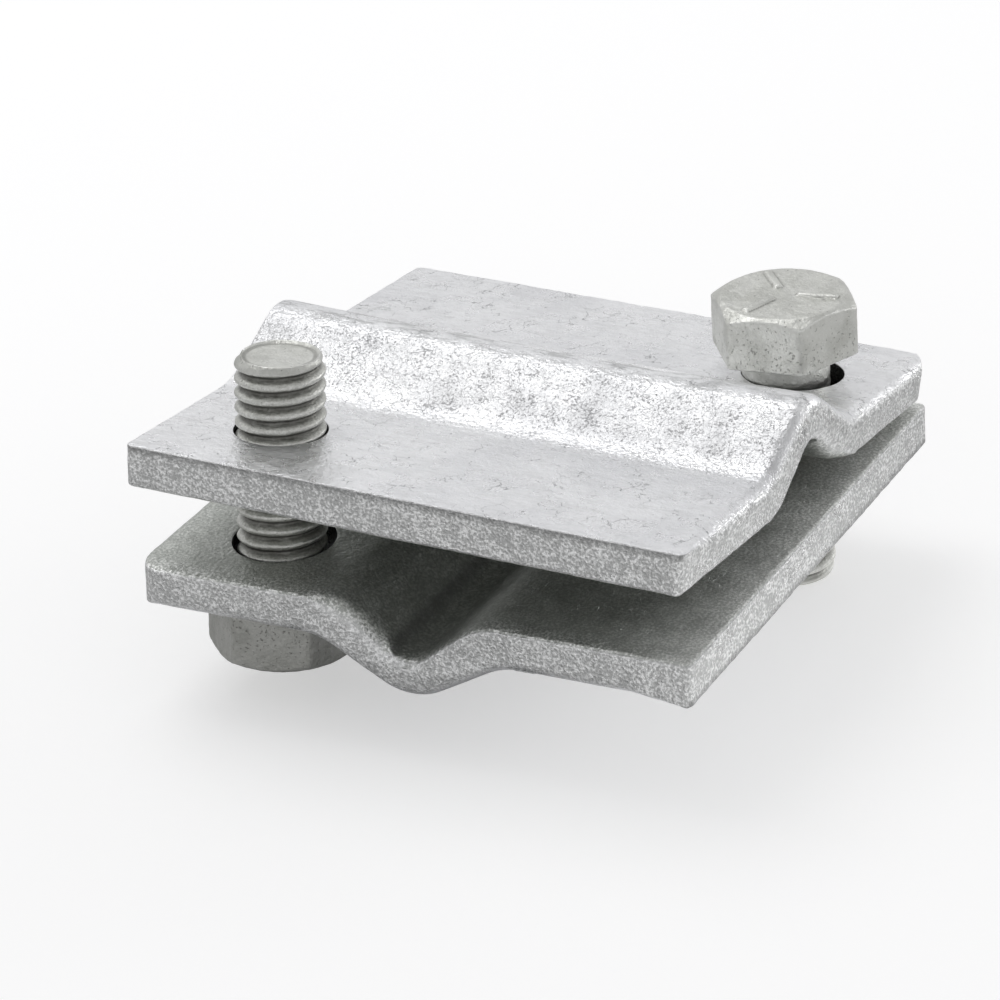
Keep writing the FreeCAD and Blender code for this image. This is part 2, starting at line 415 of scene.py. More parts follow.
# %% Rolling the right end
outer_points = face_points(plate, 1)
clamping_points = face_points(plate, -1)
rolled = 0
for vertex in plate.data.vertices:
    x, y, z = vertex.co
    outer = OUTER_ROLL * ramp(HALF - abs(y), CORNER_GAP, BACK_FADE if y > 0 else FRONT_FADE)
    inner = INNER_ROLL * ramp(y, FLANK_START, 2 * FLANK_START)
    inner *= ramp(y, FLANK_END, FLANK_END - FLANK_FADE)
    top = face_height(outer_points, y)
    bottom = face_height(clamping_points, y)
    lean = CUT_LEAN / (top - bottom)
    distance = end_x(y) - x - lean * (top - z)
    if max(distance, top - z) < outer:
        distance, depth = roll_over(distance, top - z, outer)
        vertex.co.z = top - depth
    elif max(distance, z - bottom) < inner:
        distance, depth = roll_over(distance, z - bottom, inner)
        vertex.co.z = bottom + depth
    else:
        continue
    vertex.co.x = end_x(y) - distance - lean * (top - vertex.co.z)
    rolled += 1
plate.data.update()
print("vertices rolled over:", rolled)

# %% [markdown]
# ## What the finish needs to know
# The finish differs between pressed faces, cut walls and the clamping face.  Separate
# materials would meet in hard lines, so each vertex keeps a few numbers instead, which
# say how much it belongs to a wall, to a hole, to the ridge's flanks and so on.  It
# also keeps its place in the part's own frame: both plates then share one material,
# and the pattern stays on the part wherever it goes.

# %% Keeping places and masks on a mesh
def store_place(piece):
    """Keeps each vertex' place in the part's own frame."""
    places = [0.0] * (3 * len(piece.data.vertices))
    piece.data.vertices.foreach_get("co", places)
    kept = piece.data.attributes.new("part_place", "FLOAT_VECTOR", "POINT")
    kept.data.foreach_set("vector", places)


def store_mask(piece, name, measure):
    """Keeps one number for each vertex, from 0 to 1."""
    kept = piece.data.attributes.new(name, "FLOAT", "POINT")
    kept.data.foreach_set("value", [measure(vertex) for vertex in piece.data.vertices])


# %% Marking the plate's surfaces
WALL_TO_FACE = (0.3, 0.75)
BRIM_WIDTH = (0.8 * MM, 3.2 * MM)
FLANK_LEAN = (0.1, 0.4)
CREST_LEAN = (-0.42, -0.15)
CREST_HEIGHT = (THICKNESS + 2.5 * MM, THICKNESS + 4.0 * MM)
OPEN_SIDE = (12 * MM - HALF, 2 * MM - HALF)
BROW_LEAN = (0.3, 0.6)
BROW_HEIGHT = (THICKNESS - 1.0 * MM, THICKNESS - 0.4 * MM)


def brim(vertex):
    """1 along the front and the right outline."""
    return 1 - ramp(HALF - max(vertex.co.x, -vertex.co.y), *BRIM_WIDTH)


def flank(vertex):
    """1 on the sloping sides of the ridge."""
    return ramp(abs(vertex.normal.y), *FLANK_LEAN) * ramp(vertex.normal.z, *WALL_TO_FACE)


def crest(vertex):
    """1 on top of the ridge and a little way down its back."""
    high_up = ramp(vertex.normal.y, *CREST_LEAN) * ramp(vertex.co.z, *CREST_HEIGHT)
    return high_up * ramp(vertex.normal.z, *WALL_TO_FACE)


def open_side(vertex):
    """1 on the clamping face near the side that looks to the right when turned over."""
    return ramp(vertex.co.y, *OPEN_SIDE) * ramp(-vertex.normal.z, *WALL_TO_FACE)


def brow(vertex):
    """1 along the top of the front wall, just under its edge."""
    return ramp(-vertex.normal.y, *BROW_LEAN) * ramp(vertex.co.z, *BROW_HEIGHT)


PLATE_MASKS = {
    "wall": lambda vertex: 1 - ramp(abs(vertex.normal.z), *WALL_TO_FACE),
    "clamping": lambda vertex: ramp(-vertex.normal.z, *WALL_TO_FACE),
    "bore": lambda vertex: float(near_hole(vertex.co)),
    "brim": brim,
    "flank": flank,
    "crest": crest,
    "open_side": open_side,
    "brow": brow,
}
store_place(plate)
for name, measure in PLATE_MASKS.items():
    store_mask(plate, name, measure)
print("kept on each vertex:", ", ".join(PLATE_MASKS))

# %% [markdown]
# ## Uneven skin
# Zinc dries in soft waves and lumps.  Sculpting them by hand would never repeat the
# same way, so Displace modifiers push the skin in by cloud patterns.  They never push
# it out, so the piece stays inside its true size.  Near the outline the pattern is
# stronger, because zinc gathers and drips there: a vertex group limits it to that
# border.

# %% Helpers for skin and copies
BORDER_WIDTH = 1.6 * MM


def mark_border(piece):
    """A vertex group that fades from the outline inwards."""
    group = piece.vertex_groups.new(name="border")
    for vertex in piece.data.vertices:
        depth = HALF - max(abs(vertex.co.x), abs(vertex.co.y))
        strength = 1 - ramp(depth, 0, BORDER_WIDTH)
        if strength > 0:
            group.add([vertex.index], strength, "REPLACE")


def roughen(piece, name, grain, depth, group=""):
    """Pushes the skin in by up to depth, in patches about as large as grain."""
    pattern = bpy.data.textures.new(name, "CLOUDS")
    pattern.noise_scale = grain
    pattern.noise_depth = 2
    push = piece.modifiers.new(name, "DISPLACE")
    push.texture = pattern
    push.texture_coords = "LOCAL"
    push.mid_level = 1.0
    push.strength = depth
    push.vertex_group = group


def place_copy(model, name):
    """A copy of the modelled part, with its vertex groups."""
    piece = bpy.data.objects.new(name, model.data.copy())
    bpy.context.scene.collection.objects.link(piece)
    for group in model.vertex_groups:
        piece.vertex_groups.new(name=group.name)
    return piece


mark_border(plate)

# %% [markdown]
# ## Where the pieces stand
# The places come from the construction's record, because typed ones could drift away
# from it.  The upper plate's seat gives its origin and the direction of its ridge, and
# the front bolt's travel gives its normal.  The lower plate is the same part, turned
# over about its plain diagonal.  The upper plate's ridge stands a little prouder than
# the lower one's, and a little more so at its ends.

# %% Reading the places
joints = {joint["name"]: joint for joint in frame["joints"]}
mounts = {mount["name"]: mount for mount in record["mounts"]}


def standing(origin, along, up):
    """The matrix of a part whose X is along and whose Z is up."""
    up = up.normalized()
    across = up.cross(along).normalized()
    turned = Matrix((across.cross(up), across, up)).transposed().to_4x4()
    return Matrix.Translation(origin) @ turned


seat = mounts["upper_seat"]
upper_place = standing(
    Vector(seat["pos_m"]), Vector(seat["axis"]), Vector(joints["front_bolt_travel"]["axis"])
)
lower_place = Matrix.Rotation(math.pi, 4, Vector((1, -1, 0)))

# %% Setting both plates
WAVES = {"grain": 9 * MM, "depth": 0.10 * MM}
LUMPS = {"grain": 2.2 * MM, "depth": 0.05 * MM}
DRIPS = {"grain": 1.4 * MM, "depth": 0.14 * MM, "group": "border"}
CREASE_ANGLE = math.radians(38)
PROUD_ALL_OVER = 0.05
PROUD_AT_ENDS = 0.08
PLATES = (
    ("upper_plate", upper_place, PROUD_ALL_OVER, PROUD_AT_ENDS),
    ("lower_plate", lower_place, 0, 0),
)
pieces = {}


def raise_ridge(piece, even, at_ends):
    """Lets the ridge stand prouder: by a share of its rise, and by more at its ends."""
    for vertex in piece.data.vertices:
        rise = max(0, vertex.co.z - THICKNESS)
        vertex.co.z += rise * (even + at_ends * (vertex.co.x / HALF) ** 2)


for name, placement, even, at_ends in PLATES:
    piece = place_copy(plate, name + "_zinc")
    raise_ridge(piece, even, at_ends)
    piece.data.transform(placement)
    roughen(piece, name + "_waves", **WAVES)
    roughen(piece, name + "_lumps", **LUMPS)
    roughen(piece, name + "_drips", **DRIPS)
    apply_modifiers(piece)
    bpy.ops.object.shade_smooth_by_angle(angle=CREASE_ANGLE)
    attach(piece, name)
    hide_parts(name)
    pieces[name] = piece
    size_line(piece)
bpy.data.objects.remove(plate)

# %% [markdown]
# ## The bolt's head
# A bolt's head is forged as a hexagon and its free face is turned to a chamfer, which
# leaves the curved upper edge on each flat.  A bevel would leave straight edges there,
# so a six-sided cylinder is intersected with a cone.  The bolt stands at the origin
# with its shank upwards, so its head hangs below.

# %% Sizes of the head
ACROSS_FLATS = 14.3 * MM
HEAD_HEIGHT = 6.2 * MM
HEAD_CORNER = ACROSS_FLATS / (2 * math.cos(math.radians(30)))
CHAMFER_INSET = 0.5 * MM
HEAD_TOP_RADIUS = ACROSS_FLATS / 2 - CHAMFER_INSET
CHAMFER_SLOPE = math.tan(math.radians(30))
HEAD_CORNER_ROUNDING = 0.45 * MM
HEAD_CORNER_STEPS = 4
CONE_SIDES = 128

# %% Forging the head
bpy.ops.object.select_all(action="DESELECT")
bpy.ops.mesh.primitive_cylinder_add(
    vertices=6,
    radius=HEAD_CORNER,
    depth=HEAD_HEIGHT,
    location=(0, 0, -HEAD_HEIGHT / 2),
    rotation=(0, 0, math.radians(30)),
)
head = bpy.context.object
bpy.ops.object.transform_apply(location=True, rotation=True, scale=True)
edit(head)
pick(head, "edges", lambda edge: abs(edge.verts[0].co.z - edge.verts[1].co.z) > HEAD_HEIGHT / 2)
bpy.ops.mesh.bevel(offset=HEAD_CORNER_ROUNDING, segments=HEAD_CORNER_STEPS, affect="EDGES")
close_edit()
bpy.ops.object.select_all(action="DESELECT")
bpy.ops.mesh.primitive_cone_add(
    vertices=CONE_SIDES,
    radius1=HEAD_TOP_RADIUS,
    radius2=HEAD_TOP_RADIUS + HEAD_HEIGHT / CHAMFER_SLOPE,
    depth=HEAD_HEIGHT,
    location=(0, 0, -HEAD_HEIGHT / 2),
)
turned_blank = bpy.context.object
chamfer = head.modifiers.new("chamfer", "BOOLEAN")
chamfer.operation = "INTERSECT"
chamfer.solver = "EXACT"
chamfer.object = turned_blank
apply_modifiers(head)
bpy.data.objects.remove(turned_blank)
size_line(head)

# %% [markdown]
# ## Strokes on the head
# Three raised strokes tell a bolt's grade.  They could be embossed by a pattern of
# heights, but each is a small block with eased edges, half sunk into the head: one is
# shaped and turned into place, three times.

# %% Raising the strokes
STROKES = 3
STROKE = Vector((4.3, 0.8, 0.5)) * MM
STROKE_START = 1.6 * MM
STROKE_RISE = 0.3 * MM
STROKE_TURN = math.radians(-3.4)
STROKE_EDGE = 0.08 * MM
strokes = []
for index in range(STROKES):
    bpy.ops.object.select_all(action="DESELECT")
    bpy.ops.mesh.primitive_cube_add(size=1)
    stroke = bpy.context.object
    stroke.scale = STROKE
    stroke.location = (STROKE_START + STROKE.x / 2, 0, STROKE.z / 2 - HEAD_HEIGHT - STROKE_RISE)
    bpy.ops.object.transform_apply(location=True, rotation=True, scale=True)
    edit(stroke)
    bpy.ops.mesh.select_all(action="SELECT")
    bpy.ops.mesh.bevel(offset=STROKE_EDGE, segments=2, affect="EDGES")
    close_edit()
    stroke_angle = STROKE_TURN + math.radians(360 / STROKES * index)
    stroke.data.transform(Matrix.Rotation(stroke_angle, 4, "Z"))
    strokes.append(stroke)
print("strokes:", len(strokes), "each", [round(side / MM, 2) for side in STROKE], "mm")

# %% [markdown]
# ## The rolled thread
# A thread is rolled: two dies press a helical groove into a plain shank.  A profile
# could be swept along a helix, but pressing gives the soft run-out too, so the same is
# done here.  A fine cylinder is made of many rows, and each vertex is pressed in by as
# much as the groove is deep at its angle and height.  The depth fades out at the neck,
# and the chamfer at the end takes the first crest away.  The end face lies a little
# sunk inside a lip.

# %% Sizes of the shank and its thread
BOLT_LENGTH = 26.8 * MM
PITCH = 1.5875 * MM
NECK = 3.2 * MM
RUN_OUT = 1.2 * PITCH
THREAD_DEPTH = 0.82 * MM
CREST_SHARE = 0.28
ROOT_SHARE = 0.1
FIRST_CREST_DEPTH = 2.27 * MM
FIRST_CREST = BOLT_LENGTH - FIRST_CREST_DEPTH
END_CHAMFER_WIDTH = 0.55 * MM
END_CHAMFER_HEIGHT = 1.1 * MM
LIP_GAP = 0.1 * MM
LIP_RADIUS = BOLT_RADIUS - END_CHAMFER_WIDTH - LIP_GAP
LIP_WIDTH = 0.32 * MM
LIP_HEIGHT = 0.34 * MM
ROWS_PER_PITCH = 16
ROUND_STEPS = 96

# %% Where the thread starts
# Seen from the camera, the front bolt's first crest lies at its middle when the bolt
# is turned into place.
CAMERA_AZIMUTH = 0.481339
FRONT_BOLT_TURN = math.radians(19)
REAR_BOLT_TURN = math.radians(6.1)
THREAD_PHASE = CAMERA_AZIMUTH - math.pi / 2 - FRONT_BOLT_TURN
print("turns of thread: %.1f" % ((BOLT_LENGTH - NECK) / PITCH))


def groove(angle, height):
    """How deep the groove is here, from 0 on the crest to 1 at the root."""
    turns = (height - FIRST_CREST) / PITCH - (angle - THREAD_PHASE) / (2 * math.pi)
    from_crest = abs((turns + 0.5) % 1 - 0.5) * 2
    return ramp(from_crest, CREST_SHARE, 1 - ROOT_SHARE)


def shank_radius(angle, height):
    """The shank's radius with its thread, run-out and end chamfer."""
    fade = ramp(height, NECK, NECK + RUN_OUT)
    threaded = BOLT_RADIUS - THREAD_DEPTH * fade * groove(angle, height)
    chamfer = ramp(height, BOLT_LENGTH - END_CHAMFER_HEIGHT, BOLT_LENGTH)
    return min(threaded, BOLT_RADIUS - END_CHAMFER_WIDTH * chamfer)


# %% Rolling the thread
LOOKS_UP = 0.9
bpy.ops.object.select_all(action="DESELECT")
bpy.ops.mesh.primitive_cylinder_add(
    vertices=ROUND_STEPS,
    radius=BOLT_RADIUS,
    depth=BOLT_LENGTH + HEAD_HEIGHT / 2,
    location=(0, 0, (BOLT_LENGTH - HEAD_HEIGHT / 2) / 2),
)
shank = bpy.context.object
bpy.ops.object.transform_apply(location=True, rotation=True, scale=True)
edit(shank)
pick(shank, "faces", lambda face: face.normal.z > LOOKS_UP)
bpy.ops.mesh.inset(thickness=BOLT_RADIUS - LIP_RADIUS)
bpy.ops.mesh.inset(thickness=LIP_WIDTH)
bpy.ops.transform.translate(value=(0, 0, -LIP_HEIGHT))
dice(shank, Z_AXIS, NECK, BOLT_LENGTH, PITCH / ROWS_PER_PITCH)
close_edit()
for vertex in shank.data.vertices:
    flat = Vector((vertex.co.x, vertex.co.y))
    if flat.length > BOLT_RADIUS - TINY:
        angle = math.atan2(flat.y, flat.x)
        flat = flat.normalized() * shank_radius(angle, vertex.co.z)
        vertex.co.x = flat.x
        vertex.co.y = flat.y
size_line(shank)

# %% [markdown]
# ## One skin for the whole bolt
# Head, strokes and shank are still separate shells.  Boolean unions would join them
# with sharp edges.  A voxel remesh joins them into one closed skin of small even
# faces, and a light smoothing rounds every edge a little, as the thick zinc coat does
# on the real bolt.  Each vertex then keeps how hollow or how sharp the skin is there,
# because the finish paints shade into the crevices and a highlight along the
# ridgelines.

# %% Joining the bolt
VOXEL = 0.156 * MM
choose(head)
for part in strokes + [shank]:
    part.select_set(True)
bpy.ops.object.join()
bolt = head
bolt.name = "bolt"
skin = bolt.modifiers.new("skin", "REMESH")
skin.mode = "VOXEL"
skin.voxel_size = VOXEL
ease = bolt.modifiers.new("ease", "SMOOTH")
ease.factor = 0.5
ease.iterations = 2
apply_modifiers(bolt)
store_place(bolt)

# %% Marking crevices and ridgelines
CREVICE = (0.03, 0.14)
RIDGELINE = (0.05, 0.2)


def hollowness(vertex):
    """How far the neighbours stand in front of the vertex, for each unit of distance."""
    sides = [edge.other_vert(vertex).co - vertex.co for edge in vertex.link_edges]
    return sum(vertex.normal.dot(side.normalized()) for side in sides) / len(sides)


shape = bmesh.new()
shape.from_mesh(bolt.data)
hollow = [hollowness(vertex) for vertex in shape.verts]
shape.free()
store_mask(bolt, "crevice", lambda vertex: ramp(hollow[vertex.index], *CREVICE))
store_mask(bolt, "ridgeline", lambda vertex: ramp(-hollow[vertex.index], *RIDGELINE))
size_line(bolt)

# %% [markdown]
# ## Both bolts in place
# The two bolts are the same part.  Each is copied and set along its own direction, so
# that its end face lies where the construction has it.  The front one points up
# through the tilted plate, and the rear one straight down.

# %% Placing both bolts
def end_centre(node, axis):
    """The middle of the node's end face, the farthest along the axis."""
    points = [vertex.co for vertex in frame["nodes"][node].data.vertices]
    reach = max(point.dot(axis) for point in points)
    rim = [point for point in points if point.dot(axis) > reach - TINY]
    low = Vector(min(point[i] for point in rim) for i in range(3))
    high = Vector(max(point[i] for point in rim) for i in range(3))
    return (low + high) / 2


BOLT_LUMPS = {"grain": 1.1 * MM, "depth": 0.09 * MM}
upper_turn = upper_place.to_3x3().to_4x4()
over = Matrix.Rotation(math.pi, 4, "X")
BOLTS = (
    ("front_bolt", upper_turn, FRONT_BOLT_TURN),
    ("rear_bolt", over, -REAR_BOLT_TURN),
)
for name, turned, head_turn in BOLTS:
    axis = turned @ Z_AXIS
    bearing = end_centre(name, axis) - axis * BOLT_LENGTH
    placement = Matrix.Translation(bearing) @ turned @ Matrix.Rotation(head_turn, 4, "Z")
    piece = place_copy(bolt, name + "_zinc")
    piece.data.transform(placement)
    roughen(piece, name + "_lumps", **BOLT_LUMPS)
    apply_modifiers(piece)
    bpy.ops.object.shade_smooth()
    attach(piece, name)
    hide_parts(name)
    pieces[name] = piece
    size_line(piece)
bpy.data.objects.remove(bolt)

# %% [markdown]
# ## Finishes from nodes
# A picture of zinc could be wrapped round the parts, but it would show seams and blur
# when seen close.  Both finishes are built from noise on the part's own place instead.
# A small helper class keeps the node code short: each call adds one node and returns
# its output.

# %% A helper for building finishes
class Finish:
    """One node material, built step by step."""

    def __init__(self, name):
        self.material = bpy.data.materials.new(name)
        self.material.use_nodes = True
        self.nodes = self.material.node_tree.nodes
        self.links = self.material.node_tree.links
        self.shader = self.nodes["Principled BSDF"]

    def feed(self, socket, value):
        """Links an output to the socket, or sets the socket's own value."""
        if isinstance(value, bpy.types.NodeSocket):
            self.links.new(value, socket)
        else:
            socket.default_value = value

    def place(self):
        """The vertex' place in the part's own frame."""
        node = self.nodes.new("ShaderNodeAttribute")
        node.attribute_name = "part_place"
        return node.outputs["Vector"]

    def mask(self, name):
        """One of the numbers that the mesh keeps."""
        node = self.nodes.new("ShaderNodeAttribute")
        node.attribute_name = name
        return node.outputs["Fac"]

    def math(self, operation, first, second=0.0):
        """One step of arithmetic."""
        node = self.nodes.new("ShaderNodeMath")
        node.operation = operation
        self.feed(node.inputs[0], first)
        self.feed(node.inputs[1], second)
        return node.outputs[0]

    def times(self, first, *others):
        """All the values multiplied."""
        for other in others:
            first = self.math("MULTIPLY", first, other)
        return first

    def plus(self, first, second):
        """Both values added."""
        return self.math("ADD", first, second)

    def most(self, first, *others):
        """The largest of the values."""
        for other in others:
            first = self.math("MAXIMUM", first, other)
        return first

    def levels(self, value, low, high, floor=0.0, top=1.0):
        """Maps low to floor and high to top, smoothly, and holds the value there outside."""
        node = self.nodes.new("ShaderNodeMapRange")
        node.interpolation_type = "SMOOTHSTEP"
        self.feed(node.inputs["Value"], value)
        node.inputs["From Min"].default_value = low
        node.inputs["From Max"].default_value = high
        node.inputs["To Min"].default_value = floor
        node.inputs["To Max"].default_value = top
        return node.outputs["Result"]

    def stretched(self, place, scale):
        """The place scaled along each axis: a small scale draws patterns out along it."""
        node = self.nodes.new("ShaderNodeMapping")
        self.feed(node.inputs["Vector"], place)
        node.inputs["Scale"].default_value = scale
        return node.outputs["Vector"]

    def noise(self, place, grain, detail=2.0, roughness=0.5):
        """Noise whose patches are about as large as grain, in metres."""
        node = self.nodes.new("ShaderNodeTexNoise")
        self.feed(node.inputs["Vector"], place)
        node.inputs["Scale"].default_value = 1 / grain
        node.inputs["Detail"].default_value = detail
        node.inputs["Roughness"].default_value = roughness
        return node.outputs["Fac"]

    def cracks(self, place, cell, width, sway, bends=2.5):
        """1 on thin lines between cells, which sway in so many bends for each cell."""
        shift = self.nodes.new("ShaderNodeTexNoise")
        self.feed(shift.inputs["Vector"], place)
        shift.inputs["Scale"].default_value = bends / cell
        swayed = self.nodes.new("ShaderNodeVectorMath")
        swayed.operation = "MULTIPLY_ADD"
        self.links.new(shift.outputs["Color"], swayed.inputs[0])
        swayed.inputs[1].default_value = (sway, sway, sway)
        self.feed(swayed.inputs[2], place)
        cells = self.nodes.new("ShaderNodeTexVoronoi")
        cells.feature = "DISTANCE_TO_EDGE"
        self.links.new(swayed.outputs[0], cells.inputs["Vector"])
        cells.inputs["Scale"].default_value = 1 / cell
        return self.levels(cells.outputs["Distance"], 0.0, width / cell, 1.0, 0.0)

    def mix(self, factor, first, second):
        """The first colour where the factor is 0, the second where it is 1."""
        node = self.nodes.new("ShaderNodeMix")
        node.data_type = "RGBA"
        self.feed(node.inputs["Factor"], factor)
        self.feed(node.inputs["A"], first)
        self.feed(node.inputs["B"], second)
        return node.outputs["Result"]

    def bump(self, height, distance, under=None):
        """Relief by height, up to distance, on top of the relief under it."""
        node = self.nodes.new("ShaderNodeBump")
        node.inputs["Strength"].default_value = 1.0
        node.inputs["Distance"].default_value = distance
        self.feed(node.inputs["Height"], height)
        if under is not None:
            self.links.new(under, node.inputs["Normal"])
        return node.outputs["Normal"]


# %% [markdown]
# ## The plates' zinc: pressed faces
# New zinc on rolled steel is bright, with cloudy patches, small dark pits, streaks of
# dull tarnish and a few thin cracks.  Each of them is one noise, turned into a number
# from 0 to 1 that mixes in one colour.  The pits crowd in patches.  The tarnish is
# drawn out along the ridge.  On the crest its streaks grow much stronger: there they
# are painted shade, for the darker band that the crest mirrors.

# %% Sizes and colours on the pressed faces
# A pair such as CLOUDY holds the noise where something starts and where it is full.
CLOUD_GRAIN = 12 * MM
CLOUDY = (0.42, 0.66)
PIT_GRAIN = 0.3 * MM
PITTED = (0.60, 0.76)
PIT_STRENGTH = 0.35
PATCH_GRAIN = 2.6 * MM
PATCH_CROWDING = 0.35
FLANK_CROWDING = 0.02
TARNISH_GRAIN = 1.1 * MM
TARNISH_STRETCH = (0.3, 1, 1)
TARNISHED = (0.46, 0.62)
# Tarnish everywhere, and far more on the crest, where it is painted shade.
TARNISH_AND_CREST_SHADE = (0.16, 0.75)
CRACKS = {"cell": 2.6 * MM, "width": 0.07 * MM, "sway": 1.8 * MM}
CRACKED_GRAIN = 4.2 * MM
CRACKED = (0.52, 0.58)
CRACKS_BY_FLANK = (0.7, 0.25)
BRIGHT_ZINC = (0.93, 0.935, 0.945, 1)
CLOUDY_ZINC = (0.85, 0.855, 0.87, 1)
TARNISH_AND_SHADE_GREY = (0.52, 0.525, 0.525, 1)
PIT_GREY = (0.34, 0.345, 0.35, 1)
CRACK_GREY = (0.25, 0.255, 0.26, 1)


# %% Mixing the pressed faces
def face_pits(finish, place, flank):
    """1 in small pits, which crowd in patches and a little on the ridge's flanks."""
    patches = finish.noise(place, PATCH_GRAIN, 2.0, 0.6)
    crowding = finish.times(finish.math("SUBTRACT", patches, 0.5), PATCH_CROWDING)
    crowding = finish.plus(crowding, finish.times(flank, FLANK_CROWDING))
    pits = finish.plus(finish.noise(place, PIT_GRAIN, 3.0, 0.6), crowding)
    return finish.levels(pits, *PITTED)


def face_cracks(finish, place, flank):
    """How strong the thin cracks are: in some places only, and less on the flanks."""
    cracked = finish.levels(finish.noise(place, CRACKED_GRAIN, 3.0, 0.7), *CRACKED)
    strength = finish.levels(flank, 0.0, 1.0, *CRACKS_BY_FLANK)
    return finish.times(finish.cracks(place, **CRACKS), finish.times(cracked, strength))


def face_colour(finish, place, crest, pits, cracks):
    """Bright zinc with its clouds, pits, tarnish, painted shade on the crest, and cracks."""
    clouds = finish.levels(finish.noise(place, CLOUD_GRAIN, 4.0, 0.6), *CLOUDY)
    face = finish.mix(clouds, BRIGHT_ZINC, CLOUDY_ZINC)
    face = finish.mix(finish.times(pits, PIT_STRENGTH), face, PIT_GREY)
    streaks = finish.stretched(place, TARNISH_STRETCH)
    tarnish_and_shade = finish.levels(finish.noise(streaks, TARNISH_GRAIN, 4.0, 0.7), *TARNISHED)
    # Painted shade: the tarnish streaks are made far stronger on the crest, for the darker band it mirrors.
    tarnish_and_shade = finish.times(tarnish_and_shade, finish.levels(crest, 0.0, 1.0, *TARNISH_AND_CREST_SHADE))
    face = finish.mix(tarnish_and_shade, face, TARNISH_AND_SHADE_GREY)
    return finish.mix(cracks, face, CRACK_GREY)


# %% [markdown]
# ## The plates' zinc: walls and clamping faces
# Zinc grows coarser on cut steel, so the walls look like salt and pepper.  The
# clamping face was never handled or rubbed, so it is dull and a little green, and its
# colours are darker still as painted shade between the plates.  Both share one grain.
# Where the clamping face comes into the open, near the outline, its salt gets painted
# light.

# %% Sizes and colours of walls and clamping faces
PEPPER_GRAIN = 0.32 * MM
BLOTCH_GRAIN = 1.4 * MM
BLOTCH_SHARE = 0.3
SALTED = (0.56, 0.82)
PAINTED_LIGHT_BY_SALT = (0.45, 1.0)
BROW_SHADE_STRENGTH = 0.6
BORE_SHADE_STRENGTH = 0.92
WALL_PEPPER = (0.52, 0.525, 0.52, 1)
WALL_SALT = (0.98, 0.985, 0.98, 1)
# The dull colours are dull greenish zinc, darkened further with painted shade between the plates.
DULL_SHADED_PEPPER = (0.42, 0.435, 0.41, 1)
DULL_SHADED_SALT = (0.62, 0.635, 0.605, 1)
# Painted light on the salt where the clamping face comes into the open.
PAINTED_LIGHT_SALT = (0.95, 0.955, 0.94, 1)
# Painted shade just under the front wall's top edge.
BROW_SHADE = (0.16, 0.16, 0.16, 1)
# Painted shade inside the holes.
BORE_SHADE = (0.03, 0.03, 0.028, 1)


# %% Mixing walls and clamping faces
def salt(finish, place, grain):
    """1 on the salt, 0 on the pepper: a fine grain, with more salt in blotches."""
    blotches = finish.noise(place, BLOTCH_GRAIN, 2.0, 0.6)
    return finish.levels(finish.plus(grain, finish.times(blotches, BLOTCH_SHARE)), *SALTED)


def clamping_colour(finish, grains, in_brim, in_open):
    """Dull zinc with painted shade, and painted light on the salt in the brim and more of it on the open side."""
    dull_and_shaded = finish.mix(grains, DULL_SHADED_PEPPER, DULL_SHADED_SALT)
    # Painted light: the salt is lit where the clamping face opens to the right side, and along the brim.
    painted_light = finish.times(finish.levels(grains, 0.0, 1.0, *PAINTED_LIGHT_BY_SALT), in_open)
    painted_light = finish.most(painted_light, finish.times(in_brim, grains))
    return finish.mix(painted_light, dull_and_shaded, PAINTED_LIGHT_SALT)


# %% [markdown]
# ## The plates' zinc: gloss and relief
# The relief carries most of the look: under a low view it breaks the reflections into
# short streaks.  A displaced mesh would need millions of faces for it, so bump nodes
# do it: waves first, then a hammered skin, which is stronger on the flanks and along
# the brim, then the pits and cracks, and the coarse grain of the walls.

# %% Sizes of gloss and relief
METAL = 0.9
GLOSS_GRAIN = 5 * MM
GLOSS_PATCHES = (0.35, 0.65)
PRESSED_ROUGHNESS = (0.24, 0.36)
CLAMPING_DULLNESS = 0.12
OPEN_DULLNESS = 0.2
WAVE_GRAIN = 1.3 * MM
WAVE_RELIEF = 0.10 * MM
HAMMER_GRAIN = 0.5 * MM
HAMMER_RELIEF = 0.13 * MM
HAMMER_BY_FLANK = (0.85, 1.35)
DENT_RELIEF = 0.05 * MM
WALL_RELIEF = 0.26 * MM


# %% Mixing gloss and relief
def plate_gloss(finish, place, mask):
    """Roughness in broad patches, duller on the clamping face and most on its open side."""
    patches = finish.noise(place, GLOSS_GRAIN, 3.0, 0.6)
    dullness = finish.levels(patches, *GLOSS_PATCHES, *PRESSED_ROUGHNESS)
    dullness = finish.plus(dullness, finish.times(mask["clamping"], CLAMPING_DULLNESS))
    return finish.plus(dullness, finish.times(mask["open_side"], OPEN_DULLNESS))


def plate_relief(finish, place, mask, grain, dents):
    """All the relief of a plate, one layer on the other."""
    relief = finish.bump(finish.noise(place, WAVE_GRAIN, 3.0, 0.6), WAVE_RELIEF)
    strength = finish.levels(mask["flank"], 0.0, 1.0, *HAMMER_BY_FLANK)
    strength = finish.most(strength, mask["brim"])
    hammered = finish.times(finish.noise(place, HAMMER_GRAIN, 3.0, 0.55), strength)
    relief = finish.bump(hammered, HAMMER_RELIEF, relief)
    relief = finish.bump(finish.times(dents, -1.0), DENT_RELIEF, relief)
    return finish.bump(finish.times(grain, mask["wall"]), WALL_RELIEF, relief)


